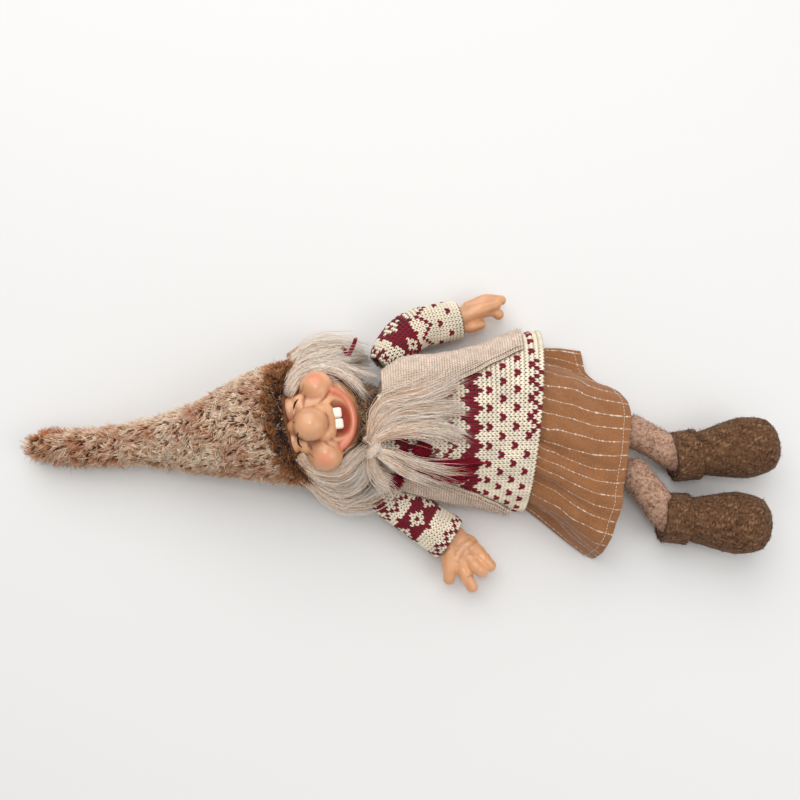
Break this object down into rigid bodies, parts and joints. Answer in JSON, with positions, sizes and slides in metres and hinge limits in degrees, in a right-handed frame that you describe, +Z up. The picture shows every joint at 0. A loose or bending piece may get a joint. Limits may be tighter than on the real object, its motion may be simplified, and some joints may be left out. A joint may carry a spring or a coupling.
{
  "type": "folk_doll",
  "caption": "Soft lying elf doll with a long plush hat, cast laughing face, mohair hair, knitted sweater and vest, striped skirt and felt boots.",
  "frame": {"origin": "On the table under the doll's back, in the flat underside of the vest back; the doll lies on its back.", "axes": "X runs from the hat's tip to the boots, Y to the doll's own left side, Z up from the table to its face."},
  "size_m": [0.4717, 0.1893, 0.072],
  "materials": {
    "cast_skin": "satin",
    "cream_knit": "matte",
    "beige_knit": "matte",
    "calico": "matte",
    "hat_plush": "matte",
    "dark_plush": "matte",
    "mohair": "satin",
    "maroon_yarn": "matte",
    "striped_cotton": "matte",
    "leg_felt": "matte",
    "boot_felt": "matte",
    "elastic": "matte",
    "fibre_fill": "matte"
  },
  "bodies": {
    "trunk": {"torso_bag": "calico", "seat_pouch": "calico", "sweater": "cream_knit", "vest_front_left": "beige_knit", "vest_front_right": "beige_knit", "vest_back": "beige_knit", "waist_elastic": "elastic", "yarn_tassel": "maroon_yarn", "yarn_tuft": "maroon_yarn"},
    "head": {"head_ball": "dark_plush", "face_mask": "cast_skin", "hat_shell": "hat_plush", "hat_brim": "dark_plush", "hat_stuffing": "fibre_fill", "hair_left": "mohair", "hair_right": "mohair", "hair_knot": "mohair", "hair_tail_upper": "mohair", "hair_tail_lower": "mohair", "hair_tie": "maroon_yarn"},
    "hat_end": {"hat_tip_stuffing": "fibre_fill"},
    "left_arm": {"arm_left": "calico", "sleeve_left": "cream_knit", "hand_left": "cast_skin"},
    "right_arm": {"arm_right": "calico", "sleeve_right": "cream_knit", "hand_right": "cast_skin"},
    "lap": {"skirt": "striped_cotton", "thigh_left": "leg_felt", "thigh_right": "leg_felt"},
    "left_leg": {"shin_left": "leg_felt", "boot_left": "boot_felt", "boot_cuff_left": "boot_felt"},
    "right_leg": {"shin_right": "leg_felt", "boot_right": "boot_felt", "boot_cuff_right": "boot_felt"}
  },
  "joints": [
    {"name": "neck_turn", "type": "hinge", "parent": "trunk", "child": "head", "pos_m": [-0.06, 0.002, 0.032], "axis": [1, 0, 0], "range_deg": [-45, 45], "deforming": ["hair_left", "hair_right", "hair_knot", "hair_tail_upper", "hair_tail_lower"]},
    {"name": "hat_flop", "type": "hinge", "parent": "head", "child": "hat_end", "pos_m": [-0.196, -0.0064, 0.019], "axis": [0, 0, 1], "range_deg": [-40, 40], "deforming": ["hat_shell"]},
    {"name": "left_shoulder", "type": "hinge", "parent": "trunk", "child": "left_arm", "pos_m": [-0.05, 0.047, 0.02], "axis": [0, 0, 1], "range_deg": [-2, 60]},
    {"name": "right_shoulder", "type": "hinge", "parent": "trunk", "child": "right_arm", "pos_m": [-0.05, -0.043, 0.02], "axis": [0, 0, -1], "range_deg": [-5, 60]},
    {"name": "hip_fold", "type": "hinge", "parent": "trunk", "child": "lap", "pos_m": [0.0647, 0.002, 0.025], "axis": [0, -1, 0], "range_deg": [-10, 90], "deforming": ["skirt"]},
    {"name": "left_knee", "type": "hinge", "parent": "lap", "child": "left_leg", "pos_m": [0.1005, -0.00235, 0.021], "axis": [0, 1, 0], "range_deg": [-10, 95]},
    {"name": "right_knee", "type": "hinge", "parent": "lap", "child": "right_leg", "pos_m": [0.1005, -0.02935, 0.021], "axis": [0, 1, 0], "range_deg": [-10, 95]}
  ]
}
